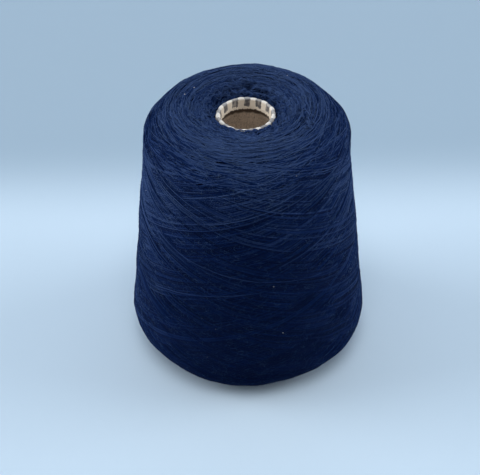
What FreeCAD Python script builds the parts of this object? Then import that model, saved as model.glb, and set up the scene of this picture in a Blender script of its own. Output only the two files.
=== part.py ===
"""A cone of knitting yarn, nose up: a paper cone of three kraft plies under a printed
cover paper, a few reserve turns of yarn round its foot, and one yarn wound on in three
stages. Millimetres, +Z up, origin on the resting plane at the cone's axis."""

import FreeCAD, Part
import math
import os

# Paper cone
CONE_LENGTH = 170.0
CONE_HALF_ANGLE = 5.95            # degrees, the 5 degree 57 minute winding cone
NOSE_OUTER_RADIUS = 17.4          # outside of the rolled rim
KRAFT_PLY_THICKNESS = 0.58        # measured level
KRAFT_PLY_COUNT = 3
COVER_THICKNESS = 0.35            # measured level
PLY_CLEARANCE = 0.01              # between the inmost ply and the turned-in cover
LIP_LENGTH = 6.0                  # straight part of the cover turned in over the nose

# Yarn package
YARN_NOSE_HEIGHT = 168.0          # where the yarn meets the cone near the nose
YARN_FOOT_HEIGHT = 8.5            # where the yarn meets the cone near the base
CREST_RADIUS = 41.0               # top of the domed end, before rounding
CREST_HEIGHT = 178.5
CREST_ROUNDING = 15.0
SHOULDER_RADIUS = 59.7            # upper outer corner, before rounding
SHOULDER_HEIGHT = 163.0
SHOULDER_ROUNDING = 13.5
HEEL_RADIUS = 77.2                # lower outer corner, before rounding
HEEL_HEIGHT = 2.5
HEEL_ROUNDING = 24.5
FOOT_FLAT_RADIUS = 44.0           # where the lower end starts to rise to the cone
FIRST_STAGE_THICKNESS = 14.0      # yarn over the cone after the first winding stage
SECOND_STAGE_THICKNESS = 29.0     # and after the second

# Reserve turns
RESERVE_STRAND_DIAMETER = 0.5
RESERVE_TURNS = 4
RESERVE_PITCH = 0.9
RESERVE_FIRST_HEIGHT = 2.2

FULL_TURN = 360.0
CUT_MARGIN = 5.0                  # how far cutting cones run past the yarn

AXIS_POINT = FreeCAD.Vector(0, 0, 0)
UP = FreeCAD.Vector(0, 0, 1)

WALL_THICKNESS = KRAFT_PLY_THICKNESS * KRAFT_PLY_COUNT + COVER_THICKNESS
LIP_OUTER_RADIUS = NOSE_OUTER_RADIUS - WALL_THICKNESS - PLY_CLEARANCE
LIP_BORE_RADIUS = LIP_OUTER_RADIUS - COVER_THICKNESS
RIM_ROUNDING = (NOSE_OUTER_RADIUS - LIP_BORE_RADIUS) / 2
RIM_BASE_HEIGHT = CONE_LENGTH - RIM_ROUNDING
SLOPE = math.tan(math.radians(CONE_HALF_ANGLE))


def cone_radius(height):
    """Outer radius of the paper cone at a height."""
    return NOSE_OUTER_RADIUS + (RIM_BASE_HEIGHT - height) * SLOPE


def profile_point(radius, height):
    """A point of a section that will be turned about the axis."""
    return FreeCAD.Vector(radius, 0, height)


def turned(edges):
    """The solid swept by a closed section turned once about the axis."""
    section = Part.Face(Part.Wire(edges))
    return section.revolve(AXIS_POINT, UP, FULL_TURN)


def straight_edges(points):
    """Lines joining the points in order."""
    return [Part.LineSegment(a, b).toShape() for a, b in zip(points, points[1:])]


def rounding_points(before, corner, after, radius):
    """Start, middle and end of the arc that rounds a corner."""
    to_before = (before - corner).normalize()
    to_after = (after - corner).normalize()
    half_angle = to_before.getAngle(to_after) / 2
    setback = radius / math.tan(half_angle)
    inward = (to_before + to_after).normalize()
    start = corner + to_before * setback
    end = corner + to_after * setback
    middle = corner + inward * (radius / math.sin(half_angle) - radius)
    return start, middle, end


def kraft_ply(index):
    """One conical ply of kraft board; index 0 is the inmost."""
    plies_outside = KRAFT_PLY_COUNT - 1 - index
    outer_inset = COVER_THICKNESS + plies_outside * KRAFT_PLY_THICKNESS
    inner_inset = outer_inset + KRAFT_PLY_THICKNESS
    foot = cone_radius(0)
    head = cone_radius(RIM_BASE_HEIGHT)
    corners = [
        profile_point(foot - outer_inset, 0),
        profile_point(head - outer_inset, RIM_BASE_HEIGHT),
        profile_point(head - inner_inset, RIM_BASE_HEIGHT),
        profile_point(foot - inner_inset, 0),
    ]
    return turned(straight_edges(corners + corners[:1]))


def printed_cover():
    """Cover paper: up the outside, over the rolled rim and down inside as a straight lip."""
    middle_radius = (NOSE_OUTER_RADIUS + LIP_BORE_RADIUS) / 2
    lip_end_height = RIM_BASE_HEIGHT - LIP_LENGTH
    foot = cone_radius(0)
    outer_foot = profile_point(foot, 0)
    outer_head = profile_point(NOSE_OUTER_RADIUS, RIM_BASE_HEIGHT)
    rim_top = profile_point(middle_radius, CONE_LENGTH)
    bore_head = profile_point(LIP_BORE_RADIUS, RIM_BASE_HEIGHT)
    bore_end = profile_point(LIP_BORE_RADIUS, lip_end_height)
    lip_back_end = profile_point(LIP_OUTER_RADIUS, lip_end_height)
    lip_back_head = profile_point(LIP_OUTER_RADIUS, RIM_BASE_HEIGHT)
    rim_underside = profile_point(middle_radius, CONE_LENGTH - COVER_THICKNESS)
    inner_head = profile_point(NOSE_OUTER_RADIUS - COVER_THICKNESS, RIM_BASE_HEIGHT)
    inner_foot = profile_point(foot - COVER_THICKNESS, 0)
    edges = straight_edges([outer_foot, outer_head])
    edges.append(Part.Arc(outer_head, rim_top, bore_head).toShape())
    edges += straight_edges([bore_head, bore_end, lip_back_end, lip_back_head])
    edges.append(Part.Arc(lip_back_head, rim_underside, inner_head).toShape())
    edges += straight_edges([inner_head, inner_foot, outer_foot])
    return turned(edges)


def reserve_turns():
    """Separate turns of one strand laid side by side round the bare foot of the cone."""
    strand_radius = RESERVE_STRAND_DIAMETER / 2
    turns = []
    for turn in range(RESERVE_TURNS):
        height = RESERVE_FIRST_HEIGHT + turn * RESERVE_PITCH
        radius = cone_radius(height) + strand_radius / math.cos(math.radians(CONE_HALF_ANGLE))
        turns.append(Part.makeTorus(radius, strand_radius, profile_point(0, height), UP))
    return Part.makeCompound(turns)


def yarn_package():
    """The whole wound package: domed upper end, rounded shoulder and heel."""
    foot_flat = profile_point(FOOT_FLAT_RADIUS, HEEL_HEIGHT)
    heel = profile_point(HEEL_RADIUS, HEEL_HEIGHT)
    shoulder = profile_point(SHOULDER_RADIUS, SHOULDER_HEIGHT)
    crest = profile_point(CREST_RADIUS, CREST_HEIGHT)
    cone_foot = profile_point(cone_radius(YARN_FOOT_HEIGHT), YARN_FOOT_HEIGHT)
    cone_head = profile_point(cone_radius(YARN_NOSE_HEIGHT), YARN_NOSE_HEIGHT)
    corners = [
        (foot_flat, heel, shoulder, HEEL_ROUNDING),
        (heel, shoulder, crest, SHOULDER_ROUNDING),
        (shoulder, crest, cone_head, CREST_ROUNDING),
    ]
    edges = straight_edges([cone_foot, foot_flat])
    last_point = foot_flat
    for before, corner, after, radius in corners:
        start, middle, end = rounding_points(before, corner, after, radius)
        edges += straight_edges([last_point, start])
        edges.append(Part.Arc(start, middle, end).toShape())
        last_point = end
    edges += straight_edges([last_point, cone_head, cone_foot])
    return turned(edges)


def winding_limit(thickness):
    """A solid cone whose surface is where the yarn had reached at this thickness."""
    bottom = -CUT_MARGIN
    top = CREST_HEIGHT + CUT_MARGIN
    return Part.makeCone(
        cone_radius(bottom) + thickness,
        cone_radius(top) + thickness,
        top - bottom,
        profile_point(0, bottom),
        UP,
    )


def yarn_stages():
    """The package divided into its three winding stages, inside to outside."""
    package = yarn_package()
    first_limit = winding_limit(FIRST_STAGE_THICKNESS)
    second_limit = winding_limit(SECOND_STAGE_THICKNESS)
    return {
        "yarn_inner_winding": package.common(first_limit),
        "yarn_middle_winding": package.common(second_limit).cut(first_limit),
        "yarn_outer_winding": package.cut(second_limit),
    }


def build():
    """Every sub-part by its node name."""
    ply_names = ["kraft_inner_ply", "kraft_middle_ply", "kraft_outer_ply"]
    parts = {name: kraft_ply(index) for index, name in enumerate(ply_names)}
    parts["printed_cover_paper"] = printed_cover()
    parts["yarn_reserve_turns"] = reserve_turns()
    parts.update(yarn_stages())
    return parts


os.makedirs("parts", exist_ok=True)
for node, shape in build().items():
    shape.exportStep("parts/" + node + ".step")
    box = shape.BoundBox
    print(
        node,
        "solids", len(shape.Solids),
        "valid", shape.isValid(),
        "volume_cm3", round(shape.Volume / 1000, 2),
        "z", round(box.ZMin, 2), round(box.ZMax, 2),
        "radius", round(box.XMax, 2),
    )
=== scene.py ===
"""The looks of a cone of navy knitting yarn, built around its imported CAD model. Metres, +Z up."""

import math

import bpy
import numpy as np
from mathutils import Matrix, Vector


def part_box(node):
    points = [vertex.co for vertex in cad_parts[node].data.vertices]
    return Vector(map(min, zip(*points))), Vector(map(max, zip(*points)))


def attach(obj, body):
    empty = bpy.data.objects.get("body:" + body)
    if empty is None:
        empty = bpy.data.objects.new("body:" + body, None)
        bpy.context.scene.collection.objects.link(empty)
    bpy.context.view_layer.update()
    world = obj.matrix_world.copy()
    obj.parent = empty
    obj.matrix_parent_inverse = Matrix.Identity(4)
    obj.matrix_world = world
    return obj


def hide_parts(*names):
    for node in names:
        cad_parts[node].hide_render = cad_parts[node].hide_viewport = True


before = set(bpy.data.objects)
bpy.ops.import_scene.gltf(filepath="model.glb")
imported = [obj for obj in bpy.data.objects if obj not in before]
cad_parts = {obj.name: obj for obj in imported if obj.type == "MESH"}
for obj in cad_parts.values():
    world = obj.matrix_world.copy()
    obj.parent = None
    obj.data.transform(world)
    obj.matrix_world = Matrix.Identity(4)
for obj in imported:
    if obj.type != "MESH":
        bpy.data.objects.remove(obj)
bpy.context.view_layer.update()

MM = 0.001
TURN = 2 * math.pi

# ---------------------------------------------------------------- sizes

# Paper cone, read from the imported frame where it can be
_, cover_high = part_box("printed_cover_paper")
yarn_low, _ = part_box("yarn_inner_winding")
CONE_LENGTH = cover_high.z
CONE_SLOPE = math.tan(math.radians(5.95))
CONE_NOSE_RADIUS = 17.4 * MM
COVER_THICKNESS = 0.35 * MM
WALL_THICKNESS = 2.09 * MM
PLY_THICKNESS = 0.58 * MM
RIM_WIDTH = 2.45 * MM             # of the rolled paper, outside to bore
RIM_ROUNDING = RIM_WIDTH / 2
RIM_BASE = CONE_LENGTH - RIM_ROUNDING
LIP_SHOWING = 5.9 * MM            # of the cover paper turned down inside, to its torn edge
LAP_HEIGHT = 0.26 * MM            # step where the inmost ply of board overlaps itself
LAP_AZIMUTH = math.radians(58)
LAP_LEAN = 0.9                    # radians round from the bottom of the lap to its top

# Section of the yarn package: its corners before rounding, and their roundings
YARN_FOOT_HEIGHT = 8.5 * MM       # where the yarn meets the cone near the base
FOOT_RADIUS = 44.0 * MM           # where the lower end starts to rise to the cone
FOOT_ROUNDING = 9.0 * MM
HEEL_RADIUS = 77.2 * MM
HEEL_HEIGHT = yarn_low.z
HEEL_ROUNDING = 24.5 * MM
SHOULDER_RADIUS = 59.7 * MM
SHOULDER_HEIGHT = 163.0 * MM
SHOULDER_ROUNDING = 13.5 * MM
CREST_RADIUS = 41.0 * MM
CREST_HEIGHT = 178.5 * MM
CREST_ROUNDING = 15.0 * MM
YARN_NOSE_HEIGHT = 168.0 * MM     # where the yarn meets the cone near the nose
FIRST_STAGE_THICKNESS = 14.0 * MM    # of yarn over the cone after the first winding stage
SECOND_STAGE_THICKNESS = 29.0 * MM   # and after the second
BED_DEPTH = 1.25 * MM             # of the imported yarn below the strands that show

# Print on the cover: dark and pale columns round the rim
COLUMN_PAIRS = 13
FIRST_DARK_COLUMN = math.radians(86.5)
PRINT_DEPTH = 4.0 * MM            # how far the columns run down inside, below the roll
PRINT_ROW = 6.0 * MM              # height of a row of blocks on the outside

# Yarn
STRAND_RADIUS = 0.225 * MM
STRAND_SIDES = 5
TWIST_LENGTH = 2.4 * MM           # of the two plies
WIND_RISE = 20.5 * MM             # climb along the surface for each radian of winding
WINDING_CYCLES = 296              # up-and-down passes that cover the side once
PASS_POINTS = 150                 # along each pass
TURN_SCATTER = 55                 # strand spacings by which a falling pass may change its place
BUNDLE = 4                        # strands that lie a little higher or lower together
BUNDLE_LIFT = 0.17 * MM           # spread of the bundles' heights
LIFT_LIMITS = (-0.40 * MM, 0.30 * MM)  # lowest and highest that a bundle lies
STRAND_DEPTH = 0.38 * MM          # how far a single strand may lie below the others
OVER_AND_UNDER = 0.17 * MM        # rise and dip of a strand as it crosses the rest
WANDER = 0.008                    # radians by which a pass strays from its line
TUCK_DEPTH = 1.2 * MM             # how far the ends of a cycle run into the package
TUCK_SHARE = 0.02                 # and over what share of the cycle
START_SCATTER = 0.22              # strand spacings by which a climbing pass strays
HEEL_OVERRUN = (-4 * MM, 10 * MM)  # where passes turn back below, past the start of the heel
SHOULDER_MARGIN = 1 * MM          # how far short of the shoulder's inner end they turn back above
SIDE_GROUPS = 8
END_TURN_DROP = (0.6 * MM, 3.2 * MM)    # how far a short turn's ends lie from its middle
END_TURN_LIFT = (-0.55 * MM, 0.12 * MM)  # lowest and highest that one lies
END_TURN_TUCK = 1.1 * MM          # how far its ends run into the package
HAIR_RADIUS = 0.026 * MM
HAIR_SIDES = 3
HAIR_LENGTH = (1.5 * MM, 5.0 * MM)
HAIR_STAND = (0.2 * MM, 0.8 * MM)
RESERVE_RADIUS = 0.25 * MM
RESERVE_TURNS = 4
RESERVE_PITCH = 0.9 * MM
RESERVE_FIRST_HEIGHT = 2.2 * MM


def cone_radius(height):
    """Outer radius of the paper cone at a height."""
    return CONE_NOSE_RADIUS + (RIM_BASE - height) * CONE_SLOPE


# ---------------------------------------------------------------- outline of the package

def unit(vector):
    """The vector's direction, one unit long."""
    return vector / np.linalg.norm(vector)


def rounded_corner(before, corner, after, rounding, step):
    """Points of the arc that rounds a corner, about one step apart."""
    to_before, to_after = unit(before - corner), unit(after - corner)
    half = math.acos(float(to_before @ to_after)) / 2
    centre = corner + unit(to_before + to_after) * rounding / math.sin(half)
    start = corner + to_before * rounding / math.tan(half) - centre
    sweep = math.pi - 2 * half
    if start[0] * to_before[1] - start[1] * to_before[0] > 0:
        sweep = -sweep
    count = max(3, int(abs(sweep) * rounding / step))
    angles = np.linspace(0, sweep, count)
    cosines, sines = np.cos(angles), np.sin(angles)
    return centre + np.stack(
        [start[0] * cosines - start[1] * sines, start[0] * sines + start[1] * cosines], axis=1
    )


class Outline:
    """The package's section, measured by distance along it from the cone's foot to its nose."""

    def __init__(self, corners, step=0.25 * MM):
        places = [np.array(corner[:2]) for corner in corners]
        points = [places[0][None]]
        arc_ends = []
        for index in range(1, len(corners) - 1):
            arc = rounded_corner(*places[index - 1:index + 2], corners[index][2], step)
            points.append(arc)
            arc_ends.append((arc[0], arc[-1]))
        points.append(places[-1][None])
        points = np.concatenate(points)
        self.along = np.concatenate([[0], np.cumsum(np.linalg.norm(np.diff(points, axis=0), axis=1))])
        self.radius, self.height = points[:, 0], points[:, 1]
        slope_r = np.gradient(self.radius, self.along)
        slope_z = np.gradient(self.height, self.along)
        size = np.hypot(slope_r, slope_z)
        self.normal_r, self.normal_z = slope_z / size, -slope_r / size
        self.length = self.along[-1]
        self.arcs = [(self.nearest(a), self.nearest(b)) for a, b in arc_ends]

    def nearest(self, point):
        """The distance along the outline of its point nearest to this one."""
        gaps = np.hypot(self.radius - point[0], self.height - point[1])
        return float(self.along[np.argmin(gaps)])

    def at(self, along):
        """Radius, height and outward normal at distances along the outline."""
        values = (self.radius, self.height, self.normal_r, self.normal_z)
        return [np.interp(along, self.along, value) for value in values]

    def where_thickness(self, thickness, upper):
        """Where the yarn over the cone is this thick, on the upper or the lower end."""
        over = self.radius - cone_radius(self.height) - thickness
        crossings = np.nonzero(np.diff(np.sign(over)))[0]
        return float(self.along[crossings[-1] if upper else crossings[0]])


# Radius, height and rounding of each corner, foot to nose
OUTLINE = Outline([
    (cone_radius(YARN_FOOT_HEIGHT), YARN_FOOT_HEIGHT, 0),
    (FOOT_RADIUS, HEEL_HEIGHT, FOOT_ROUNDING),
    (HEEL_RADIUS, HEEL_HEIGHT, HEEL_ROUNDING),
    (SHOULDER_RADIUS, SHOULDER_HEIGHT, SHOULDER_ROUNDING),
    (CREST_RADIUS, CREST_HEIGHT, CREST_ROUNDING),
    (cone_radius(YARN_NOSE_HEIGHT), YARN_NOSE_HEIGHT, 0),
])
_, HEEL_ARC, SHOULDER_ARC, CREST_ARC = OUTLINE.arcs
NOSE = OUTLINE.length


# ---------------------------------------------------------------- uneven surfaces

def ripple(seed, waves, most_around, shortest, longest):
    """A smooth uneven field over the package, between about -1 and 1."""
    random = np.random.default_rng(seed)
    around = random.integers(-most_around, most_around + 1, waves)
    along = random.choice([-1, 1], waves) * TURN / random.uniform(shortest, longest, waves)
    phase = random.uniform(0, TURN, waves)

    def field(angle, distance):
        total = np.zeros(np.broadcast(angle, distance).shape)
        for m, k, p in zip(around, along, phase):
            total += np.cos(m * angle + k * distance + p)
        return total / math.sqrt(waves / 2) / 1.6

    return field


broad_lumps = ripple(11, 10, 4, 60 * MM, 200 * MM)
small_lumps = ripple(12, 26, 26, 14 * MM, 45 * MM)
nose_puckers = ripple(13, 48, 34, 4 * MM, 11 * MM)
end_terraces = ripple(14, 36, 7, 1.6 * MM, 4.5 * MM)

# Hollows and bulges of this package: azimuth and half reach in degrees, distance from the
# nose, half width along the surface, and height
UNEVEN_PLACES = [
    (87, 7, 9.0 * MM, 1.6 * MM, -3.8 * MM),
    (87, 5, 4.5 * MM, 2.5 * MM, -1.4 * MM),
    (113, 14, 8.0 * MM, 1.1 * MM, -3.4 * MM),
    (66, 11, 7.0 * MM, 1.0 * MM, -3.0 * MM),
    (139, 13, 4.5 * MM, 2.0 * MM, -3.0 * MM),
    (40, 13, 3.2 * MM, 2.0 * MM, -2.0 * MM),
    (354, 6, 15.0 * MM, 1.1 * MM, -3.6 * MM),
    (336, 6, 21.0 * MM, 1.0 * MM, -3.4 * MM),
    (196, 6, 14.0 * MM, 1.5 * MM, -0.7 * MM),
    (250, 40, 12.0 * MM, 5.0 * MM, 0.5 * MM),
    (334, 20, 190.0 * MM, 14.0 * MM, 1.5 * MM),
    (290, 17, 198.0 * MM, 15.0 * MM, -1.1 * MM),
    (226, 13, 198.0 * MM, 15.0 * MM, -0.8 * MM),
    (182, 22, 75.0 * MM, 20.0 * MM, -1.2 * MM),
    (2, 14, 57.0 * MM, 9.0 * MM, 1.3 * MM),
    (30, 12, 45.0 * MM, 6.0 * MM, -1.2 * MM),
    (150, 14, 45.0 * MM, 6.0 * MM, -1.0 * MM),
    (110, 24, 33.0 * MM, 8.0 * MM, -0.8 * MM),
]
BROAD_LUMP_HEIGHT = 0.28 * MM
SMALL_LUMP_HEIGHT = 0.18 * MM
PUCKER_HEIGHT = 0.85 * MM
PUCKER_REACH = 14 * MM            # from the nose
TERRACE_HEIGHT = 0.36 * MM
TERRACE_MIDDLE = 17 * MM          # distance from the nose where the end's terraces are highest
TERRACE_REACH = 16 * MM
NOSE_TILT = 2.7 * MM              # the yarn stands this much higher in front of the rim
NOSE_TILT_REACH = 5 * MM
NOSE_DIP = 0.9 * MM               # and dips this much where it meets the rim elsewhere
NOSE_DIP_REACH = 2.6 * MM
CALM_REACH = 4 * MM               # the yarn puckers less this near the front of the rim


def turn_gap(angle, other):
    """Signed difference of two angles, within half a turn."""
    return (angle - other + math.pi) % TURN - math.pi


def falloff(distance, reach):
    """1 at no distance, falling off smoothly to a third at the reach."""
    return np.exp(-(distance / reach) ** 2)


def relief(angle, along):
    """How far the real surface stands off the smooth outline."""
    from_nose = NOSE - along
    backward = np.sin(angle)
    height = BROAD_LUMP_HEIGHT * broad_lumps(angle, along) + SMALL_LUMP_HEIGHT * small_lumps(angle, along)
    calm_front = 1 - 0.8 * np.clip(-backward, 0, 1) * falloff(from_nose, CALM_REACH)
    puckers = nose_puckers(angle, along) * falloff(from_nose, PUCKER_REACH)
    height = height + PUCKER_HEIGHT * puckers * calm_front
    terraces = end_terraces(angle, along) * falloff(from_nose - TERRACE_MIDDLE, TERRACE_REACH)
    height = height + TERRACE_HEIGHT * terraces
    height = height - NOSE_TILT * backward * falloff(from_nose, NOSE_TILT_REACH)
    height = height - NOSE_DIP * (1 + 0.5 * backward) * falloff(from_nose, NOSE_DIP_REACH)
    for azimuth, reach, distance, width, rise in UNEVEN_PLACES:
        across = turn_gap(angle, math.radians(azimuth))
        height = height + rise * falloff(across, math.radians(reach)) * falloff(from_nose - distance, width)
    return height


def on_surface(angle, along, lift):
    """Points over the package's surface and the outward direction there."""
    radius, height, normal_r, normal_z = OUTLINE.at(along)
    lift = lift + relief(angle, along)
    cosine, sine = np.cos(angle), np.sin(angle)
    flat = radius + normal_r * lift
    points = np.stack([flat * cosine, flat * sine, height + normal_z * lift], axis=-1)
    upward = np.broadcast_to(normal_z, flat.shape)
    normals = np.stack([normal_r * cosine, normal_r * sine, upward], axis=-1)
    return points, normals


# ---------------------------------------------------------------- mesh making

def make_mesh(name, vertices, quads, caps=None, corner_values=None, smooth=True):
    """An object from arrays of vertices, four-sided faces and, if given, many-sided end caps."""
    mesh = bpy.data.meshes.new(name)
    vertices = np.asarray(vertices, dtype=np.float32).reshape(-1, 3)
    quads = np.asarray(quads, dtype=np.int32).reshape(-1, 4)
    loops = [quads.ravel()]
    sizes = [np.full(len(quads), 4, dtype=np.int32)]
    if caps is not None:
        loops.append(np.asarray(caps, dtype=np.int32).ravel())
        sizes.append(np.full(len(caps), caps.shape[1], dtype=np.int32))
    loops, sizes = np.concatenate(loops), np.concatenate(sizes)
    mesh.vertices.add(len(vertices))
    mesh.vertices.foreach_set("co", vertices.ravel())
    mesh.loops.add(len(loops))
    mesh.loops.foreach_set("vertex_index", loops)
    mesh.polygons.add(len(sizes))
    mesh.polygons.foreach_set("loop_start", np.concatenate([[0], np.cumsum(sizes)[:-1]]).astype(np.int32))
    mesh.update(calc_edges=True)
    mesh.polygons.foreach_set("use_smooth", np.full(len(sizes), smooth))
    if corner_values is not None:
        values = np.zeros((len(loops), 3), dtype=np.float32)
        values[:len(corner_values)] = corner_values
        attribute = mesh.attributes.new("lay", "FLOAT_VECTOR", "CORNER")
        attribute.data.foreach_set("vector", values.ravel())
    mesh.validate()
    piece = bpy.data.objects.new(name, mesh)
    bpy.context.scene.collection.objects.link(piece)
    return piece


def closed_grid_quads(rows, columns):
    """Faces of a grid that closes on itself both ways."""
    row = np.arange(rows)[:, None]
    column = np.arange(columns)[None]
    next_row, next_column = (row + 1) % rows, (column + 1) % columns
    corners = [(row, column), (next_row, column), (next_row, next_column), (row, next_column)]
    return np.stack([r * columns + c for r, c in corners], axis=-1).reshape(-1, 4)


def lathe(name, radius, height):
    """A closed ring from its sections; radius and height are arrays of angle by section point."""
    count = radius.shape[0]
    angle = np.arange(count)[:, None] * TURN / count
    vertices = np.stack([radius * np.cos(angle), radius * np.sin(angle), height], axis=-1)
    return make_mesh(name, vertices, closed_grid_quads(*radius.shape))


def strands(name, centres, normals, tones, radius=STRAND_RADIUS, sides=STRAND_SIDES):
    """Closed tubes along many paths of equal point counts: arrays of strand by point by XYZ."""
    count, points = centres.shape[:2]
    tangents = np.gradient(centres, axis=1)
    tangents /= np.linalg.norm(tangents, axis=2, keepdims=True)
    across = np.cross(tangents, normals)
    across /= np.linalg.norm(across, axis=2, keepdims=True)
    outward = np.cross(across, tangents)
    turn = np.arange(sides) * TURN / sides
    ring = (outward[:, :, None] * np.cos(turn)[:, None] + across[:, :, None] * np.sin(turn)[:, None])
    vertices = centres[:, :, None] + ring * np.broadcast_to(radius, (count, points))[:, :, None, None]
    strand = np.arange(count)[:, None, None] * points * sides
    point = np.arange(points - 1)[None, :, None] * sides
    side = np.arange(sides)[None, None]
    base = strand + point
    next_side = (side + 1) % sides
    quads = np.stack(
        [base + side, base + next_side, base + sides + next_side, base + sides + side], axis=-1
    )
    first = np.arange(count)[:, None] * points * sides
    start_caps = first + np.arange(sides)[::-1][None]
    end_caps = first + (points - 1) * sides + np.arange(sides)[None]
    steps = np.linalg.norm(np.diff(centres, axis=1), axis=2)
    travelled = np.concatenate([np.zeros((count, 1)), np.cumsum(steps, axis=1)], axis=1)
    here = np.broadcast_to(travelled[:, :-1, None], quads.shape[:3])
    there = np.broadcast_to(travelled[:, 1:, None], quads.shape[:3])
    turn_here = np.broadcast_to(side / sides, quads.shape[:3])
    turn_there = turn_here + 1 / sides
    along = np.stack([here, here, there, there], axis=-1)
    around = np.stack([turn_here, turn_there, turn_there, turn_here], axis=-1)
    tone = np.broadcast_to(tones[:, None, None, None], along.shape)
    corner_values = np.stack([along, around, tone], axis=-1).reshape(-1, 3)
    return make_mesh(name, vertices, quads, np.concatenate([start_caps, end_caps]), corner_values)


# ---------------------------------------------------------------- materials

def new_material(name):
    """A material with only a Principled shader: the material, its node tree and the shader."""
    material = bpy.data.materials.new(name)
    material.use_nodes = True
    tree = material.node_tree
    tree.nodes.clear()
    output = tree.nodes.new("ShaderNodeOutputMaterial")
    shader = tree.nodes.new("ShaderNodeBsdfPrincipled")
    tree.links.new(shader.outputs[0], output.inputs["Surface"])
    return material, tree, shader


def add(tree, kind, inputs=None, **settings):
    """A node with its settings made and its sockets set to values or linked to outputs."""
    node = tree.nodes.new("ShaderNode" + kind)
    for key, value in settings.items():
        setattr(node, key, value)
    for socket, value in (inputs or {}).items():
        if isinstance(value, bpy.types.NodeSocket):
            tree.links.new(value, node.inputs[socket])
        else:
            node.inputs[socket].default_value = value
    return node


def maths(tree, operation, *values):
    """The output of one Math node."""
    return add(tree, "Math", dict(enumerate(values)), operation=operation).outputs[0]


def plus(tree, *values):
    """The sum of the values."""
    total = values[0]
    for value in values[1:]:
        total = maths(tree, "ADD", total, value)
    return total


def times(tree, *values):
    """The product of the values."""
    product = values[0]
    for value in values[1:]:
        product = maths(tree, "MULTIPLY", product, value)
    return product


def blend_colours(tree, factor, first, second):
    """Colour running from first to second as factor goes from 0 to 1."""
    node = add(tree, "Mix", {"Factor": factor, 6: first, 7: second}, data_type="RGBA")
    return node.outputs[2]


def noise(tree, scale, detail, roughness):
    """Noise in object space, between 0 and 1; the scale is in waves a metre."""
    place = add(tree, "TexCoord").outputs["Object"]
    inputs = {"Scale": scale, "Detail": detail, "Roughness": roughness, "Vector": place}
    return add(tree, "TexNoise", inputs).outputs[0]


def ranged(tree, value, low, high, to_low=0.0, to_high=1.0):
    """The value carried from one range to another and held at its ends."""
    inputs = {"Value": value, "From Min": low, "From Max": high, "To Min": to_low, "To Max": to_high}
    return add(tree, "MapRange", inputs).outputs[0]


def place_on_object(tree):
    """The point being shaded: X, Y, height and distance from the axis."""
    x, y, height = add(tree, "SeparateXYZ", {0: add(tree, "TexCoord").outputs["Object"]}).outputs
    out = maths(tree, "SQRT", plus(tree, times(tree, x, x), times(tree, y, y)))
    return x, y, height, out


# Navy dye of the yarn and of its hairs: deep, middle and pale
NAVY = ((0.0005, 0.0062, 0.036, 1), (0.0022, 0.0150, 0.076, 1), (0.0350, 0.0670, 0.170, 1))
NAVY_HAIR = ((0.016, 0.052, 0.140, 1), (0.056, 0.112, 0.222, 1), (0.125, 0.195, 0.325, 1))
YARN_SHEEN = (0.50, 0.66, 1.0, 1)
KRAFT_DARK = (0.56, 0.44, 0.345, 1)
KRAFT_LIGHT = (0.88, 0.73, 0.59, 1)
KRAFT_FLECK = (0.10, 0.072, 0.052, 1)
# Painted shade in a band on the board under the torn lip
KRAFT_SHADE_UNDER_LIP = (0.075, 0.045, 0.035, 1)
PAPER_CREAM = (0.97, 0.850, 0.700, 1)
PAPER_FIBRE = (0.50, 0.41, 0.31, 1)
# Paper on the crown of the roll: rubbed, and partly a painted highlight
PAPER_RUBBED_AND_LIT = (0.79, 0.77, 0.735, 1)
PRINT_SLATE = (0.140, 0.134, 0.138, 1)
PRINT_FADED = (0.44, 0.40, 0.36, 1)
# Ink on the crown of the roll: worn, and partly a painted highlight
PRINT_WORN_AND_LIT = (0.40, 0.40, 0.41, 1)
LINT_DARK = (0.34, 0.37, 0.42, 1)
LINT_LIGHT = (0.72, 0.74, 0.78, 1)
FLOOR_NEAR = (0.590, 0.735, 0.875, 1)
FLOOR_FAR = (0.350, 0.468, 0.585, 1)
WALL_IN_FRONT = (0.04, 0.05, 0.06, 1)
WALL_BEHIND = (0.31, 0.385, 0.46, 1)
WALL_BESIDE = (0.62, 0.69, 0.76, 1)

# Painted light and shade on the yarn: how much paler, or deeper where negative, its shade is in places
# Painted sheen: the end round the nose is paler, as it catches the light
END_PAINTED_SHEEN = 0.27
# Painted light on the back of the top, lit at a grazing angle
BACK_PAINTED_LIGHT = 0.26
# Painted shade: darker towards the foot
FOOT_PAINTED_SHADE = -0.18
# Painted shade: darker low on the side, less so near the shoulder
SIDE_PAINTED_SHADE = (-0.43, -0.11)      # low on the side, and at the shoulder
# Painted highlight on the top in front of the nose, round this place
TOP_FRONT_PAINTED_HIGHLIGHT = 0.24
TOP_FRONT_HIGHLIGHT_PLACE = (0, -0.047, 0.173)
# Painted sheen on the left and right flanks of the side
FLANK_PAINTED_SHEEN = (0.36, 0.28)        # on the left and on the right
FLANK_START = (0.42, 0.60)        # as a share of the radius sideways, left and right
FLANK_FULL = 0.97
FLANK_CHANGE = 0.03               # distance to each side over which left turns to right
# Painted shade in the gaps between strands, on the packed yarn behind them
BED_PAINTED_GAP_SHADE = -0.25


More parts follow.
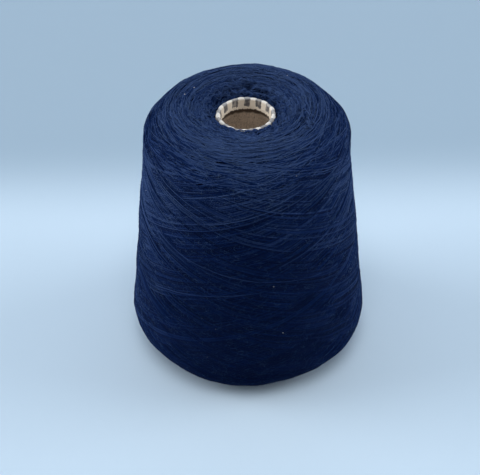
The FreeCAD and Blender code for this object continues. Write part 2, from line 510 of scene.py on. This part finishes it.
def yarn_painted_light(tree, paler):
    """Painted light and shade over the package: a painted sheen on the end, painted light on the back of
    the top, a painted highlight at its front, painted shade low on the side and towards the foot, and a
    painted sheen on the flanks.
    """
    x, y, height, out = place_on_object(tree)
    on_top = ranged(tree, height, 0.150, 0.165)
    below_shoulder = ranged(tree, height, 0.160, 0.148)
    inner = ranged(tree, out, 0.053, 0.044)
    # Painted sheen on the end face
    end_face = ranged(tree, times(tree, inner, on_top), 0, 1, paler, paler + END_PAINTED_SHEEN)
    # Painted light on the back of the top
    back = times(tree, ranged(tree, y, 0.020, 0.050), on_top, BACK_PAINTED_LIGHT)
    # Painted shade towards the foot and low on the side
    foot = ranged(tree, height, 0.02, 0.10, FOOT_PAINTED_SHADE, 0.0)
    side = ranged(tree, height, 0.09, 0.160, *SIDE_PAINTED_SHADE)
    # Painted highlight on the top in front of the nose
    place = add(tree, "CombineXYZ", {0: x, 1: y, 2: height}).outputs[0]
    highlight_gap = add(tree, "VectorMath", {0: place, 1: TOP_FRONT_HIGHLIGHT_PLACE}, operation="DISTANCE")
    top_front_highlight = ranged(tree, highlight_gap.outputs["Value"], 0.036, 0.006, 0.0, TOP_FRONT_PAINTED_HIGHLIGHT)
    # Painted sheen on the flanks, stronger on the left
    sideways = maths(tree, "DIVIDE", maths(tree, "ABSOLUTE", x), out)
    flank_strength = ranged(tree, x, -FLANK_CHANGE, FLANK_CHANGE, *FLANK_PAINTED_SHEEN)
    flank_start = ranged(tree, x, -FLANK_CHANGE, FLANK_CHANGE, *FLANK_START)
    flanks = times(tree, ranged(tree, sideways, flank_start, FLANK_FULL), below_shoulder, flank_strength)
    return plus(tree, end_face, back, foot, side, top_front_highlight, flanks)


def yarn_material(name, on_strands, dyes, paler=0.0):
    """Soft two-ply yarn, dyed navy: uneven dye with painted light and shade laid over it, a twist in relief
    and a fuzzy sheen.
    """
    material, tree, shader = new_material(name)
    cloud = noise(tree, 45, 4, 0.6)
    mottle = noise(tree, 900, 3, 0.6)
    shade = plus(tree, times(tree, cloud, 0.45), times(tree, mottle, 0.35), yarn_painted_light(tree, paler))
    bump_height = noise(tree, 2600, 2, 0.7)
    if on_strands:
        lay = add(tree, "Attribute", attribute_name="lay").outputs["Vector"]
        along, around, tone = add(tree, "SeparateXYZ", {0: lay}).outputs
        shade = plus(tree, shade, times(tree, tone, 0.62))
        turns = plus(tree, times(tree, along, 1 / TWIST_LENGTH), times(tree, around, 2.0))
        twist = maths(tree, "SINE", times(tree, turns, TURN))
        bump_height = plus(tree, times(tree, twist, 0.5), bump_height)
    deep, middle, pale = dyes
    low = blend_colours(tree, ranged(tree, shade, 0.25, 0.65), deep, middle)
    colour = blend_colours(tree, ranged(tree, shade, 0.65, 1.05), low, pale)
    bump = add(tree, "Bump", {"Strength": 0.5, "Distance": 0.08 * MM, "Height": bump_height})
    tree.links.new(colour, shader.inputs["Base Color"])
    tree.links.new(bump.outputs[0], shader.inputs["Normal"])
    tree.links.new(ranged(tree, mottle, 0.3, 0.7, 0.70, 0.90), shader.inputs["Roughness"])
    shader.inputs["Specular IOR Level"].default_value = 0.05
    shader.inputs["Sheen Weight"].default_value = 0.03
    shader.inputs["Sheen Roughness"].default_value = 0.3
    shader.inputs["Sheen Tint"].default_value = YARN_SHEEN
    return material


def kraft_material():
    """Grey-brown kraft board with fibres and flecks, and painted shade in a ragged band under the torn lip.
    """
    material, tree, shader = new_material("kraft_board_fibres")
    _, _, height, _ = place_on_object(tree)
    fibres = noise(tree, 900, 5, 0.7)
    flecks = noise(tree, 1500, 2, 0.5)
    stains = noise(tree, 90, 3, 0.5)
    shade = plus(tree, times(tree, fibres, 0.6), times(tree, stains, 0.4))
    colour = blend_colours(tree, ranged(tree, shade, 0.36, 0.64), KRAFT_DARK, KRAFT_LIGHT)
    colour = blend_colours(tree, ranged(tree, flecks, 0.58, 0.72), colour, KRAFT_FLECK)
    # Painted shade: a ragged dark band on the board just under the torn lip
    ragged = ranged(tree, noise(tree, 420, 3, 0.6), 0.3, 0.7, -0.5 * MM, 0.5 * MM)
    below_lip = plus(tree, maths(tree, "SUBTRACT", RIM_BASE - LIP_SHOWING, height), ragged)
    shade_under_lip = ranged(tree, below_lip, 4.0 * MM, 3.0 * MM, 0.0, 0.85)
    colour = blend_colours(tree, shade_under_lip, colour, KRAFT_SHADE_UNDER_LIP)
    relief_height = plus(tree, fibres, flecks)
    bump = add(tree, "Bump", {"Strength": 0.4, "Distance": 0.12 * MM, "Height": relief_height})
    tree.links.new(colour, shader.inputs["Base Color"])
    tree.links.new(bump.outputs[0], shader.inputs["Normal"])
    tree.links.new(ranged(tree, fibres, 0.3, 0.7, 0.8, 0.95), shader.inputs["Roughness"])
    shader.inputs["Specular IOR Level"].default_value = 0.3
    return material


def printed_blocks(tree):
    """1 on the dark blocks: columns over the roll and lip, and staggered rows on the outside."""
    x, y, z, out = place_on_object(tree)
    edge_wobble = ranged(tree, noise(tree, 700, 2, 0.5), 0.3, 0.7, -0.035, 0.035)
    column_wobble = ranged(tree, noise(tree, 120, 1, 0.5), 0.3, 0.7, -0.05, 0.05)
    outside = maths(tree, "GREATER_THAN", out, CONE_NOSE_RADIUS - 0.4 * RIM_WIDTH)
    below_roll = maths(tree, "LESS_THAN", z, RIM_BASE - 1.2 * MM)
    row = maths(tree, "FLOOR", maths(tree, "DIVIDE", z, PRINT_ROW))
    row_shift = times(tree, row, 0.5, outside, below_roll)
    from_first = maths(tree, "SUBTRACT", maths(tree, "ARCTAN2", y, x), FIRST_DARK_COLUMN)
    pair = plus(tree, times(tree, from_first, COLUMN_PAIRS / TURN), row_shift, edge_wobble, column_wobble)
    dark = ranged(tree, maths(tree, "COSINE", times(tree, pair, TURN)), -0.08, 0.08)
    margin_height = plus(tree, RIM_BASE - PRINT_DEPTH, times(tree, edge_wobble, 16 * MM))
    inside = maths(tree, "SUBTRACT", 1.0, outside)
    margin = times(tree, maths(tree, "LESS_THAN", z, margin_height), inside)
    return times(tree, dark, maths(tree, "SUBTRACT", 1.0, margin))


def print_material():
    """Cream cover paper printed with slate blocks, rubbed pale where it is creased and rolled; the pale
    crown of the roll is partly rubbing and partly a painted highlight.
    """
    material, tree, shader = new_material("printed_cover_blocks")
    _, _, z, out = place_on_object(tree)
    fibres = noise(tree, 1400, 4, 0.65)
    patches = noise(tree, 260, 3, 0.6)
    smudges = noise(tree, 480, 3, 0.65)
    dark = printed_blocks(tree)
    # The crown of the roll is paler: partly rubbed, partly a painted highlight
    high = ranged(tree, z, RIM_BASE - 0.8 * MM, CONE_LENGTH - 0.5 * MM)
    crown = ranged(tree, out, CONE_NOSE_RADIUS - 1.05 * RIM_WIDTH, CONE_NOSE_RADIUS - 0.70 * RIM_WIDTH)
    worn_and_lit = times(tree, high, crown, ranged(tree, patches, 0.35, 0.6, 0.70, 1.0))
    paper = blend_colours(tree, worn_and_lit, PAPER_CREAM, PAPER_RUBBED_AND_LIT)
    paper = blend_colours(tree, ranged(tree, fibres, 0.55, 0.75, 0.0, 0.35), paper, PAPER_FIBRE)
    ink = blend_colours(tree, worn_and_lit, PRINT_SLATE, PRINT_WORN_AND_LIT)
    ink = blend_colours(tree, ranged(tree, smudges, 0.47, 0.60, 0.0, 0.90), ink, PRINT_FADED)
    bump_height = plus(tree, fibres, patches)
    bump = add(tree, "Bump", {"Strength": 0.4, "Distance": 0.06 * MM, "Height": bump_height})
    tree.links.new(blend_colours(tree, dark, paper, ink), shader.inputs["Base Color"])
    tree.links.new(bump.outputs[0], shader.inputs["Normal"])
    tree.links.new(ranged(tree, dark, 0, 1, 0.62, 0.42), shader.inputs["Roughness"])
    shader.inputs["Specular IOR Level"].default_value = 0.45
    return material


def lint_material():
    """Pale grey specks of stray fibre."""
    material, tree, shader = new_material("pale_lint")
    tuft = noise(tree, 3000, 3, 0.6)
    colour = blend_colours(tree, ranged(tree, tuft, 0.3, 0.7), LINT_DARK, LINT_LIGHT)
    tree.links.new(colour, shader.inputs["Base Color"])
    tree.links.new(ranged(tree, tuft, 0.3, 0.7, 0.8, 1.0), shader.inputs["Roughness"])
    return material


def floor_material():
    """Plain pale blue, a little deeper further back."""
    material, tree, shader = new_material("floor_paper")
    place = add(tree, "SeparateXYZ", {0: add(tree, "TexCoord").outputs["Object"]})
    back = add(
        tree, "MapRange",
        {"Value": place.outputs[1], "From Min": 0.085, "From Max": 0.215},
        interpolation_type="SMOOTHERSTEP",
    ).outputs[0]
    colour = blend_colours(tree, back, FLOOR_NEAR, FLOOR_FAR)
    tree.links.new(colour, shader.inputs["Base Color"])
    shader.inputs["Roughness"].default_value = 0.9
    shader.inputs["Specular IOR Level"].default_value = 0.1
    return material


# ---------------------------------------------------------------- camera, light and floor

CAMERA_LENS = 90.0                # in millimetres, as the sensor's width is
CAMERA_SENSOR = 36.0
CAMERA_PLACE = (0.0, -0.5749, 0.5732)
CAMERA_DOWN = 0.7148              # in radians, as the other two angles are
CAMERA_LEFT = 0.008
CAMERA_ROLL = -0.017

SOFTBOX_COLOUR = (1.0, 0.99, 0.98)
# Each softbox: the way its light goes, strength, and spread in degrees
SOFTBOXES = {
    "softbox_above": ((0, -0.05, -1), 0.45, 60),
    "softbox_front": ((0, 0.37, -1), 0.92, 30),
    "softbox_left": ((1.0, -0.10, -0.30), 2.30, 40),
    "softbox_right": ((-1.0, -0.10, -0.30), 1.75, 40),
}
FLOOR_HALF_WIDTH = 8.0


def make_camera():
    """Looks down on the cone from in front."""
    data = bpy.data.cameras.new("camera")
    data.lens = CAMERA_LENS
    data.sensor_width = CAMERA_SENSOR
    data.clip_start = 0.01
    data.clip_end = 50.0
    camera = bpy.data.objects.new("camera", data)
    aim = Matrix.Rotation(CAMERA_LEFT, 4, "Z") @ Matrix.Rotation(math.pi / 2 - CAMERA_DOWN, 4, "X")
    camera.matrix_world = Matrix.Translation(CAMERA_PLACE) @ aim @ Matrix.Rotation(CAMERA_ROLL, 4, "Z")
    bpy.context.scene.collection.objects.link(camera)
    bpy.context.scene.camera = camera


def soft_sun(name, towards, strength, spread):
    """Even light from one side of the sky, as from a large softbox far away."""
    data = bpy.data.lights.new(name, "SUN")
    data.energy = strength
    data.angle = math.radians(spread)
    data.color = SOFTBOX_COLOUR
    lamp = bpy.data.objects.new(name, data)
    lamp.rotation_euler = Vector(towards).to_track_quat("-Z", "Y").to_euler()
    lamp.location = (0, 0, 2)
    bpy.context.scene.collection.objects.link(lamp)


def make_world():
    """Studio walls: pale behind and beside the object, dim in front of it."""
    world = bpy.data.worlds.new("studio")
    world.use_nodes = True
    tree = world.node_tree
    background = tree.nodes["Background"]
    direction = add(tree, "SeparateXYZ", {0: add(tree, "TexCoord").outputs["Generated"]})
    wall = ranged(tree, direction.outputs[1], -0.6, 0.2)
    colour = blend_colours(tree, wall, WALL_IN_FRONT, WALL_BEHIND)
    sideways = ranged(tree, maths(tree, "ABSOLUTE", direction.outputs[0]), 0.75, 1.0)
    low_down = ranged(tree, direction.outputs[2], 0.45, 0.0)
    colour = blend_colours(tree, times(tree, sideways, low_down), colour, WALL_BESIDE)
    tree.links.new(colour, background.inputs[0])
    background.inputs[1].default_value = 1.0
    bpy.context.scene.world = world


def make_light():
    """The softboxes and the walls, shown with plain contrast."""
    for name, (towards, strength, spread) in SOFTBOXES.items():
        soft_sun(name, towards, strength, spread)
    make_world()
    bpy.context.scene.view_settings.view_transform = "Standard"


def make_floor():
    """A plain floor, wide enough to reach the horizon in every view."""
    half = FLOOR_HALF_WIDTH
    corners = [(-half, -half, 0), (half, -half, 0), (half, half, 0), (-half, half, 0)]
    floor = make_mesh("floor", corners, [[0, 1, 2, 3]], smooth=False)
    floor.data.materials.append(floor_material())


def finished(piece, material, slot, *replaced):
    """Gives a piece its material, hangs it under the root body and hides the imported parts it replaces;
    the slot is not used.
    """
    piece.data.materials.append(material)
    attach(piece, "root")
    if replaced:
        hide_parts(*replaced)
    return piece


# ---------------------------------------------------------------- wound yarn

def winding_bed(name, visible_runs, around=400):
    """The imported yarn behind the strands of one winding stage, as a closed ring."""
    angle = np.arange(around)[:, None] * TURN / around
    pieces = []
    for start, end in visible_runs:
        count = max(6, int(abs(end - start) / (0.9 * MM)))
        along = np.linspace(start, end, count)[None]
        points, _ = on_surface(angle, along, -BED_DEPTH)
        pieces.append(np.stack([np.hypot(points[..., 0], points[..., 1]), points[..., 2]], axis=-1))
    section = []
    hidden_count = 24
    share = np.linspace(0, 1, hidden_count + 2)[1:-1][None, :, None]
    for index, piece in enumerate(pieces):
        following = pieces[(index + 1) % len(pieces)]
        section.append(piece)
        section.append(piece[:, -1:] * (1 - share) + following[:, :1] * share)
    section = np.concatenate(section, axis=1)
    return lathe(name, section[..., 0], section[..., 1])


def pass_share(count):
    """From 0 to 1 over one pass, slow at its ends where the yarn turns back."""
    sharpness = 0.985
    wave = np.sin(np.linspace(-math.pi / 2, math.pi / 2, count))
    return (1 + np.arcsin(sharpness * wave) / math.asin(sharpness)) / 2


wander_up = ripple(31, 30, 22, 16 * MM, 60 * MM)
wander_down = ripple(32, 30, 22, 16 * MM, 60 * MM)
over_and_under = ripple(33, 30, 18, 14 * MM, 50 * MM)


def winding_plan():
    """For each cycle: its start angle, where it turns back below, above and below again, and the
    lifts of its climbing and its falling pass.

    Both passes lie evenly among those of the other cycles, although the turns are scattered."""
    random = np.random.default_rng(21)
    cycle = np.arange(WINDING_CYCLES)
    meant = cycle + random.uniform(-TURN_SCATTER, TURN_SCATTER, WINDING_CYCLES)
    all_round = np.concatenate([meant - WINDING_CYCLES, meant, meant + WINDING_CYCLES])
    rank = np.argsort(np.argsort(all_round))[WINDING_CYCLES:2 * WINDING_CYCLES] - WINDING_CYCLES
    low_turn, low_end = random.uniform(*HEEL_OVERRUN, (2, WINDING_CYCLES))
    middle = pass_share(PASS_POINTS)[PASS_POINTS // 2 - 1:PASS_POINTS // 2 + 1]
    flatter = 1 / ((middle[1] - middle[0]) * (PASS_POINTS - 1))
    shift = WIND_RISE * (rank - cycle) * TURN / WINDING_CYCLES + (low_turn + low_end) * (1 - flatter) / 2
    high_turn = SHOULDER_ARC[1] - SHOULDER_MARGIN + shift / (1 + flatter)
    low_turn, low_end = low_turn + HEEL_ARC[0], low_end + HEEL_ARC[0]
    start = (cycle + random.normal(0, START_SCATTER, WINDING_CYCLES)) * TURN / WINDING_CYCLES
    start = start + ((low_turn + high_turn) * flatter - (high_turn - low_turn)) / (2 * WIND_RISE)
    free = random.normal(0, 1 / math.sqrt(BUNDLE), (2, WINDING_CYCLES))
    lifts = BUNDLE_LIFT * sum(np.roll(free, step, axis=1) for step in range(BUNDLE))
    return start, low_turn, high_turn, low_end, lifts[0], lifts[1][rank % WINDING_CYCLES]


def side_windings(group):
    """Some of the crossing passes that cover the side, each up over the shoulder and back."""
    random = np.random.default_rng(22 + group)
    plan = [values[group::SIDE_GROUPS, None] for values in winding_plan()]
    start, low_turn, high_turn, low_end, rise_lift, fall_lift = plan
    count = len(start)
    share, turned = pass_share(PASS_POINTS)[None], np.linspace(0, 1, PASS_POINTS)[None]
    rise = low_turn + (high_turn - low_turn) * share
    fall = high_turn + (low_end - high_turn) * share
    along = np.concatenate([rise, fall[:, 1:]], axis=1)
    rise_span, fall_span = (high_turn - low_turn) / WIND_RISE, (high_turn - low_end) / WIND_RISE
    angle = start + np.concatenate([rise_span * turned, rise_span + fall_span * turned[:, 1:]], axis=1)
    climbing = np.arange(along.shape[1]) < PASS_POINTS
    family = np.where(climbing, 1.0, -1.0)[None]
    wander = np.where(climbing, wander_up(angle, along), wander_down(angle, along))
    angle = angle + WANDER * wander
    lift = random.uniform(-STRAND_DEPTH, 0.0, (count, 1))
    lift = lift + np.clip(np.where(climbing, rise_lift, fall_lift), *LIFT_LIMITS)
    lift = lift + OVER_AND_UNDER * family * over_and_under(angle, along)
    done = np.linspace(0, 1, along.shape[1])[None]
    lift = lift - TUCK_DEPTH * (np.exp(-done / TUCK_SHARE) + np.exp(-(1 - done) / TUCK_SHARE))
    centres, normals = on_surface(angle, along, lift)
    tones = random.uniform(-0.15, 1.15, count)
    return strands(f"yarn_side_windings_{group + 1}", centres, normals, tones)


# Short turns on the ends of the package. For each piece: count, distances along the outline
# between which they lie, seed, which way they bow, reach in radians, unevenness and points
NOSE_END = (CREST_ARC[0] - 16 * MM, NOSE - 8 * MM)
END_TURNS = {
    "yarn_nose_end_turns_1": (520, *NOSE_END, 41, 1, (0.45, 1.0), 0.35 * MM, 26),
    "yarn_nose_end_turns_2": (520, *NOSE_END, 51, 1, (0.45, 1.0), 0.35 * MM, 26),
    "yarn_turns_by_nose": (300, NOSE - 13 * MM, NOSE - 0.5 * MM, 43, 1, (0.4, 1.1), 0.95 * MM, 60),
    "yarn_base_end_turns": (420, 1 * MM, HEEL_ARC[0] + 8 * MM, 45, -1, (0.45, 1.0), 0.3 * MM, 26),
}


def end_arcs(name, count, nearest, furthest, seed, inward, half_spans, wobble, points):
    """Short turns that show on an end of the package where each layer's yarn turned back."""
    random = np.random.default_rng(seed)
    middle = random.uniform(nearest, furthest, count)
    azimuth = random.uniform(0, TURN, count)
    half = random.uniform(*half_spans, count)
    share = np.linspace(-1, 1, points)[None]
    angle = azimuth[:, None] + half[:, None] * share
    drop = random.uniform(*END_TURN_DROP, count)[:, None]
    along = middle[:, None] - inward * drop * share ** 2
    field = ripple(seed + 1, 40, 40, 6 * MM, 16 * MM)
    along = along + wobble * field(angle, along)
    low, high = sorted((nearest, furthest))
    along = np.clip(along, max(low - 6 * MM, 0), min(high + 3 * MM, NOSE - 0.2 * MM))
    lift = random.uniform(*END_TURN_LIFT, count)[:, None] - END_TURN_TUCK * np.abs(share) ** 5
    calm_by_rim = np.clip((NOSE - along) / (5 * MM), 0.15, 1)
    lift = lift + 0.6 * wobble * calm_by_rim * field(angle + 1.0, along + 7 * MM)
    centres, normals = on_surface(angle, along, lift)
    return strands(name, centres, normals, random.uniform(0.1, 1.1, count))


# ---------------------------------------------------------------- loose yarn and lint

def path_strands(name, angle, along, lift, tones, radius=STRAND_RADIUS, sides=STRAND_SIDES):
    """Strands along paths given by angle, distance along the outline and lift off the surface."""
    centres, normals = on_surface(angle, along, lift)
    return strands(name, centres, normals, tones, radius, sides)


# Strands lying slack over the rest: azimuth in degrees and height of each end, then sag
SLACK_STRANDS = [
    (226, 110 * MM, 330, 87 * MM, -1.5 * MM),
    (214, 72 * MM, 282, 90 * MM, 3.0 * MM),
    (248, 134 * MM, 290, 148 * MM, 0.5 * MM),
    (284, 105 * MM, 318, 117 * MM, 0.6 * MM),
    (196, 140 * MM, 236, 122 * MM, -0.8 * MM),
    (20, 120 * MM, 92, 98 * MM, -1.2 * MM),
    (112, 70 * MM, 176, 92 * MM, 1.4 * MM),
]


def slack_strands():
    """Slack lengths of the outermost layer, bowed a little off the surface."""
    ends = np.array(SLACK_STRANDS)
    share = np.linspace(0, 1, 60)[None]
    angle = np.radians(ends[:, :1] + (ends[:, 2:3] - ends[:, :1]) * share)
    height = ends[:, 1:2] + (ends[:, 3:4] - ends[:, 1:2]) * share + ends[:, 4:5] * 4 * share * (1 - share)
    side_ends = [HEEL_ARC[1], SHOULDER_ARC[0]]
    along = np.interp(height, OUTLINE.at(side_ends)[1], side_ends)
    bow = np.sin(math.pi * share)
    lift = 0.30 * MM * bow ** 0.4 - 0.9 * MM * (1 - bow) ** 8
    # The slack strands are paler than the rest: a painted highlight on the raised yarn
    return path_strands("yarn_slack_strands", angle, along, lift, np.full(len(ends), 1.3))


# Crumpled loops on the end: azimuth in degrees, distance from the nose, reach round and size
LOOSE_LOOPS = [
    (352, 16 * MM, 10, 2.4 * MM),
    (341, 22 * MM, 8, 2.2 * MM),
    (330, 26 * MM, 8, 2.0 * MM),
    (196, 16 * MM, 9, 1.8 * MM),
    (78, 22 * MM, 9, 1.6 * MM),
    (128, 25 * MM, 8, 1.5 * MM),
]


def loose_loops():
    """Lengths that slipped as the yarn turned back, left lying in small waves."""
    random = np.random.default_rng(61)
    share = np.linspace(-1, 1, 90)
    fade = 1 - share ** 4
    angles, alongs, lifts = [], [], []
    for azimuth, distance, reach, size in LOOSE_LOOPS:
        for strand in range(3):
            phase = random.uniform(0, TURN)
            wave = share * random.uniform(5.5, 8.0) + phase
            shift = random.uniform(-1.6, 1.6) * MM
            angles.append(np.radians(azimuth + reach * (share + 0.22 * np.sin(wave * 2) * fade)))
            alongs.append(NOSE - distance + shift + size * np.sin(wave) * fade)
            lifts.append((0.50 * fade + 0.32 * np.sin(wave + 1) * fade - 1.2 * (1 - fade)) * MM)
    # The loops are paler than the rest: a painted highlight on the raised yarn
    tones = random.uniform(1.1, 1.8, len(angles))
    return path_strands("yarn_loose_loops", np.array(angles), np.array(alongs), np.array(lifts), tones)


def fuzz_fibres(group, count=6000, points=5):
    """Fine hairs that stand off the yarn."""
    random = np.random.default_rng(71 + group)
    band = np.linspace(HEEL_ARC[0], NOSE - 2 * MM, 200)
    area = np.cumsum(OUTLINE.at(band)[0])
    along0 = np.interp(random.uniform(0, area[-1], count), area, band)[:, None]
    angle0 = random.uniform(0, TURN, count)[:, None]
    share = np.linspace(0, 1, points)[None]
    length = random.uniform(*HAIR_LENGTH, count)[:, None]
    heading = random.uniform(0, TURN, count)[:, None] + random.normal(0, 1.2, count)[:, None] * share
    radius, _, _, _ = OUTLINE.at(along0)
    angle = angle0 + length * np.cos(heading) * share / radius
    along = np.clip(along0 + length * np.sin(heading) * share, 0, NOSE)
    stand = random.uniform(*HAIR_STAND, count)[:, None]
    lift = -0.1 * MM + stand * np.sin(share * random.uniform(1.6, 3.0, count)[:, None])
    name = f"yarn_fuzz_fibres_{group + 1}"
    tones = random.uniform(0.4, 1.4, count)
    return path_strands(name, angle, along, lift, tones, HAIR_RADIUS, HAIR_SIDES)


# Lint: azimuth in degrees, distance from the foot along the surface, and size
LINT = [
    (149, 220.6 * MM, 0.34 * MM),
    (162, 218.5 * MM, 0.36 * MM),
    (50, 217.1 * MM, 0.32 * MM),
    (283, 122.0 * MM, 0.27 * MM),
    (287, 85.9 * MM, 0.26 * MM),
    (250, 66.7 * MM, 0.16 * MM),
    (254, 90.0 * MM, 0.14 * MM),
    (247, 95.9 * MM, 0.14 * MM),
    (298, 193.4 * MM, 0.20 * MM),
    (30, 140.0 * MM, 0.26 * MM),
    (110, 90.0 * MM, 0.28 * MM),
    (200, 160.0 * MM, 0.22 * MM),
]


def lint_specks():
    """Specks of stray fibre: each is a few short curls tangled together."""
    random = np.random.default_rng(81)
    share = np.linspace(0, 1, 14)
    angles, alongs, lifts, thickness = [], [], [], []
    for azimuth, along, size in LINT:
        radius = float(OUTLINE.at(along)[0])
        for curl in range(5):
            spin = random.uniform(0, TURN) + share * random.uniform(4, 7)
            reach = size * random.uniform(0.4, 1.0) * (1 - 0.6 * share)
            angles.append(math.radians(azimuth) + reach * np.cos(spin) / radius)
            alongs.append(along + reach * np.sin(spin))
            lifts.append(0.35 * MM + size * random.uniform(-0.4, 0.6) * np.sin(3 * share + curl))
            thickness.append(np.full(share.size, 0.22 * size))
    tones = np.ones(len(angles))
    arrays = [np.array(values) for values in (angles, alongs, lifts)]
    return path_strands("lint_specks", *arrays, tones, np.array(thickness), 5)


def reserve_turns():
    """A few spaced turns round the bare foot of the cone, tucked under the package."""
    points = 420
    share = np.linspace(0, 1, points)
    angle = share * TURN * RESERVE_TURNS
    height = RESERVE_FIRST_HEIGHT + RESERVE_PITCH * (RESERVE_TURNS - 1) * share
    wander = ripple(91, 8, 12, 20 * MM, 40 * MM)
    height = height + 0.12 * MM * wander(angle, height)
    radius = cone_radius(height) + RESERVE_RADIUS
    centres = np.stack([radius * np.cos(angle), radius * np.sin(angle), height], axis=-1)[None]
    normals = np.stack([np.cos(angle), np.sin(angle), np.zeros(points)], axis=-1)[None]
    return strands("yarn_reserve_helix", centres, normals, np.array([0.6]), RESERVE_RADIUS, 8)


# ---------------------------------------------------------------- paper cone

def column_shape(angle, seed):
    """Each printed column's bulge, 0 at its creases to 1, and its own random offset."""
    columns = 2 * COLUMN_PAIRS
    place = (angle - FIRST_DARK_COLUMN) * columns / TURN + 0.5
    index = np.floor(place).astype(int) % columns
    bulge = 1 - (2 * (place % 1) - 1) ** 2
    offsets = np.random.default_rng(seed).uniform(-1, 1, columns)
    return bulge, offsets[index] * np.clip(2.5 * bulge, 0, 1)


def printed_cover():
    """Cover paper with its creased roll at the rim and turned-in lip, as one thin closed shell."""
    around = 2 * COLUMN_PAIRS * 20
    angle = np.arange(around)[:, None] * TURN / around
    bulge, push = column_shape(angle, 51)
    _, rise = column_shape(angle, 52)
    dark = np.cos((angle - FIRST_DARK_COLUMN) * COLUMN_PAIRS) > 0
    # Each column bulges between its creases, is pushed its own way, and sinks a little if dark
    swell_out = (0.34 * bulge - 0.28 + 0.30 * push - np.where(dark, 0.14, -0.04)) * MM
    swell_up = (0.24 * bulge - 0.14 + 0.30 * rise - np.where(dark, 0.12, 0.0)) * MM
    ragged = ripple(53, 30, 90, 10 * MM, 40 * MM)(angle, 0.0)
    middle = CONE_NOSE_RADIUS - RIM_ROUNDING

    def section(inset):
        """Outer wall, roll and lip, set in by a distance from the outer face."""
        rounding = RIM_ROUNDING - inset
        neck = RIM_BASE - 8 * MM
        climb = np.concatenate([np.linspace(0, neck, 24)[:-1], np.linspace(neck, RIM_BASE, 16)])
        arc = np.linspace(0, math.pi, 19)[1:-1]
        drop = np.linspace(0, LIP_SHOWING, 22)
        outer_r = np.broadcast_to(cone_radius(climb) - inset, (around, climb.size))
        near_rim = falloff(RIM_BASE - climb, 2.5 * MM)
        outer_r = outer_r + near_rim * swell_out
        outer_z = np.broadcast_to(climb, (around, climb.size))
        inward = np.where(np.cos(arc) < 0, 0.75, 1.0)
        arc_r = middle + rounding * np.cos(arc) + swell_out * np.cos(arc) * inward
        arc_z = RIM_BASE + np.sin(arc) * (rounding + swell_up)
        settle = falloff(drop, 6 * MM)
        lip_r = middle - rounding - settle * 0.75 * swell_out
        lip_r = lip_r - (1 - settle) * (0.45 + 0.10 * bulge) * MM
        lip_z = RIM_BASE - drop * (1 + 0.065 * ragged + 0.04 * rise)
        radii = np.concatenate([outer_r, arc_r, lip_r], axis=1)
        heights = np.concatenate([outer_z, arc_z, lip_z], axis=1)
        return radii, heights

    face_r, face_z = section(0.0)
    back_r, back_z = section(COVER_THICKNESS)
    radius = np.concatenate([face_r, back_r[:, ::-1]], axis=1)
    height = np.concatenate([face_z, back_z[:, ::-1]], axis=1)
    return lathe("printed_cover_wrap", radius, height)


def kraft_inner_wall():
    """The inmost kraft ply, with the step of its lengthwise lap and a slightly uneven face."""
    around = 360
    angle = np.arange(around)[:, None] * TURN / around
    height = np.linspace(0, RIM_BASE, 110)[None]
    outer = cone_radius(height) - WALL_THICKNESS + PLY_THICKNESS
    seam = LAP_AZIMUTH + LAP_LEAN * (height / CONE_LENGTH - 0.5)
    past_seam = (angle - seam) % TURN
    lap = LAP_HEIGHT * np.exp(-past_seam / 0.22) * np.clip(past_seam / 0.02, 0, 1)
    uneven = ripple(54, 24, 20, 8 * MM, 50 * MM)
    inner = outer - PLY_THICKNESS - lap - 0.05 * MM * (1 + uneven(angle, height))
    outer = np.broadcast_to(outer, inner.shape)
    height = np.broadcast_to(height, inner.shape)
    radius = np.concatenate([outer, inner[:, ::-1]], axis=1)
    return lathe("kraft_inner_wall", radius, np.concatenate([height, height[:, ::-1]], axis=1))


# ---------------------------------------------------------------- making

make_camera()
make_light()
make_floor()

strand_yarn = yarn_material("navy_yarn_strands", True, NAVY)
# The packed yarn is painted deeper, as shade in the gaps between the strands
bed_yarn = yarn_material("navy_yarn_packed", False, NAVY, BED_PAINTED_GAP_SHADE)
hair_yarn = yarn_material("navy_yarn_hairs", True, NAVY_HAIR)
kraft = kraft_material()

for node in ("kraft_middle_ply", "kraft_outer_ply"):
    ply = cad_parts[node]
    ply.data.materials.clear()
    ply.data.materials.append(kraft)

finished(kraft_inner_wall(), kraft, "kraft_board", "kraft_inner_ply")
finished(printed_cover(), print_material(), "printed_paper", "printed_cover_paper")
finished(reserve_turns(), strand_yarn, "yarn", "yarn_reserve_turns")

first_top = OUTLINE.where_thickness(FIRST_STAGE_THICKNESS, True)
second_top = OUTLINE.where_thickness(SECOND_STAGE_THICKNESS, True)
first_foot = OUTLINE.where_thickness(FIRST_STAGE_THICKNESS, False)
second_foot = OUTLINE.where_thickness(SECOND_STAGE_THICKNESS, False)
stages = {
    "yarn_inner_winding": [(0, first_foot), (first_top, NOSE)],
    "yarn_middle_winding": [(first_foot, second_foot), (second_top, first_top)],
    "yarn_outer_winding": [(second_foot, second_top)],
}
for node, runs in stages.items():
    finished(winding_bed(node + "_packed", runs), bed_yarn, "yarn", node)

for group in range(SIDE_GROUPS):
    finished(side_windings(group), strand_yarn, "yarn")

for name, turns in END_TURNS.items():
    finished(end_arcs(name, *turns), strand_yarn, "yarn")
finished(slack_strands(), strand_yarn, "yarn")
finished(loose_loops(), strand_yarn, "yarn")
for group in range(2):
    finished(fuzz_fibres(group), hair_yarn, "yarn")
finished(lint_specks(), lint_material(), "yarn")
